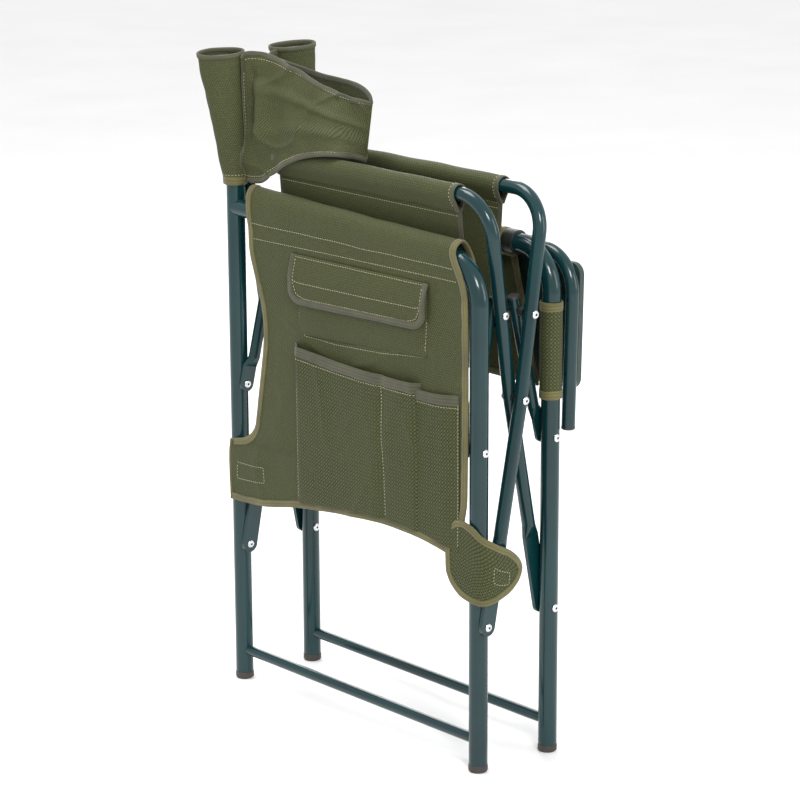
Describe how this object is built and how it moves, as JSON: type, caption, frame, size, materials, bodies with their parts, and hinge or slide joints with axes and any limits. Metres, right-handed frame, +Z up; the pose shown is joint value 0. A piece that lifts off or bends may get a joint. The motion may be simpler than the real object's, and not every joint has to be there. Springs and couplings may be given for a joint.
{
  "type": "folding chair",
  "caption": "Folding steel-tube director's chair with cloth seat, back and arm organiser, folded flat; scissor frames open it, with a swing-up side table.",
  "frame": {"origin": "centre of the whole folded object's base on the ground", "axes": "+Z up; the sitter faces -Y; +X to the sitter's left, across the fold"},
  "size_m": [0.1727, 0.4986, 0.7938],
  "materials": {
    "green_paint": "glossy powder coat, dark blue-green",
    "rivet_steel": "bright zinc-plated",
    "foot_plastic": "matt, dark brown-black",
    "trim_plastic": "matt black",
    "board_plastic": "fine-grained, dark green-grey",
    "olive_fabric": "coarse plain-weave polyester, olive green",
    "binding_tape": "ribbed binding tape, golden olive",
    "stitching": "thick cream-olive thread"
  },
  "bodies": {
    "side_right": {"right_front_leg": "green_paint", "right_rear_post": "green_paint", "right_lower_rail": "green_paint", "right_feet": "foot_plastic", "right_post_cap": "trim_plastic", "right_low_rivets": "rivet_steel", "right_link_rivets": "rivet_steel", "back_sleeve_right": "olive_fabric", "back_wing_right": "olive_fabric", "organizer_sleeve": "olive_fabric", "organizer_panel": "olive_fabric", "organizer_pockets": "olive_fabric", "flap_pocket": "olive_fabric", "organizer_front_tab": "olive_fabric"},
    "scissor_b": {"scissor_frame_b": "green_paint", "centre_rivets": "rivet_steel", "centre_washers": "trim_plastic", "upper_rivets_b": "rivet_steel", "link_spacer_b": "trim_plastic", "seat_sleeve_b": "olive_fabric"},
    "scissor_a": {"scissor_frame_a": "green_paint", "upper_rivets_a": "rivet_steel", "link_spacer_a": "trim_plastic", "seat_sleeve_a": "olive_fabric"},
    "side_left": {"left_front_leg": "green_paint", "left_rear_post": "green_paint", "left_lower_rail": "green_paint", "left_feet": "foot_plastic", "left_post_cap": "trim_plastic", "left_low_rivets": "rivet_steel", "left_link_rivets": "rivet_steel", "back_sleeve_left": "olive_fabric", "back_wing_left": "olive_fabric", "table_clamps": "trim_plastic", "arm_cover_sleeve": "olive_fabric", "arm_cover_panel": "olive_fabric", "arm_cover_tab": "olive_fabric"},
    "links_right": {"right_front_link": "green_paint", "right_rear_link": "green_paint", "right_link_plugs": "trim_plastic", "right_link_studs": "rivet_steel"},
    "links_left": {"left_front_link": "green_paint", "left_rear_link": "green_paint", "left_link_plugs": "trim_plastic", "left_link_studs": "rivet_steel"},
    "seat_a": {"seat_panel_a": "olive_fabric"},
    "seat_b": {"seat_panel_b": "olive_fabric"},
    "back_right": {"back_panel_right": "olive_fabric"},
    "back_left": {"back_panel_left": "olive_fabric"},
    "table": {"table_frame": "green_paint", "table_plugs": "trim_plastic", "table_board": "board_plastic", "table_screws": "rivet_steel"},
    "flap": {"pocket_flap": "olive_fabric"}
  },
  "joints": [
    {"name": "fold", "type": "hinge", "parent": "side_right", "child": "scissor_b", "pos_m": [-0.06139, -0.01551, 0.18], "axis": [0, 1, 0], "range_deg": [0, 52.2]},
    {"name": "centre_pivot", "type": "hinge", "parent": "scissor_b", "child": "scissor_a", "pos_m": [-0.00939, -0.01551, 0.44], "axis": [0, -1, 0], "range_deg": [-0.05, 104.45]},
    {"name": "left_pivot", "type": "hinge", "parent": "scissor_a", "child": "side_left", "pos_m": [0.04261, -0.01551, 0.18], "axis": [0, 1, 0], "range_deg": [-0.05, 52.25]},
    {"name": "right_link_pivot", "type": "hinge", "parent": "side_right", "child": "links_right", "pos_m": [-0.06139, -0.01551, 0.386], "axis": [0, 1, 0], "range_deg": [-0.05, 90.69]},
    {"name": "left_link_pivot", "type": "hinge", "parent": "side_left", "child": "links_left", "pos_m": [0.04261, -0.01551, 0.386], "axis": [0, -1, 0], "range_deg": [-0.05, 90.69]},
    {"name": "seat_edge", "type": "hinge", "parent": "scissor_a", "child": "seat_a", "pos_m": [-0.04376, -0.01551, 0.67247], "axis": [0, -1, 0], "range_deg": [-0.05, 19.85]},
    {"name": "seat_middle", "type": "hinge", "parent": "seat_a", "child": "seat_b", "pos_m": [-0.00939, -0.01551, 0.46835], "axis": [0, 1, 0], "range_deg": [-0.05, 144.04]},
    {"name": "back_edge", "type": "hinge", "parent": "side_right", "child": "back_right", "pos_m": [-0.01939, 0.19599, 0.641], "axis": [0, 0.1564, 0.9877], "range_deg": [-0.05, 79.63]},
    {"name": "back_middle", "type": "hinge", "parent": "back_right", "child": "back_left", "pos_m": [-0.00939, 0.00166, 0.67178], "axis": [0, -0.1564, -0.9877], "range_deg": [-0.05, 159.22]},
    {"name": "table_swing", "type": "hinge", "parent": "side_left", "child": "table", "pos_m": [0.06811, -0.01551, 0.597], "axis": [0, -1, 0], "range_deg": [0, 90]},
    {"name": "flap_lift", "type": "hinge", "parent": "side_right", "child": "flap", "pos_m": [-0.07369, -0.01551, 0.572], "axis": [0, 1, 0], "range_deg": [0, 90]}
  ],
  "couplings": [
    {"joint": "centre_pivot", "follows": "fold", "ratio": 2},
    {"joint": "left_pivot", "follows": "fold", "ratio": 1},
    {"joint": "right_link_pivot", "follows": "fold", "ratio": 1.7365},
    {"joint": "left_link_pivot", "follows": "fold", "ratio": 1.7365},
    {"joint": "seat_edge", "follows": "fold", "ratio": 0.37925},
    {"joint": "seat_middle", "follows": "fold", "ratio": 2.7585},
    {"joint": "back_edge", "follows": "fold", "ratio": 1.5246},
    {"joint": "back_middle", "follows": "fold", "ratio": 3.0492}
  ]
}
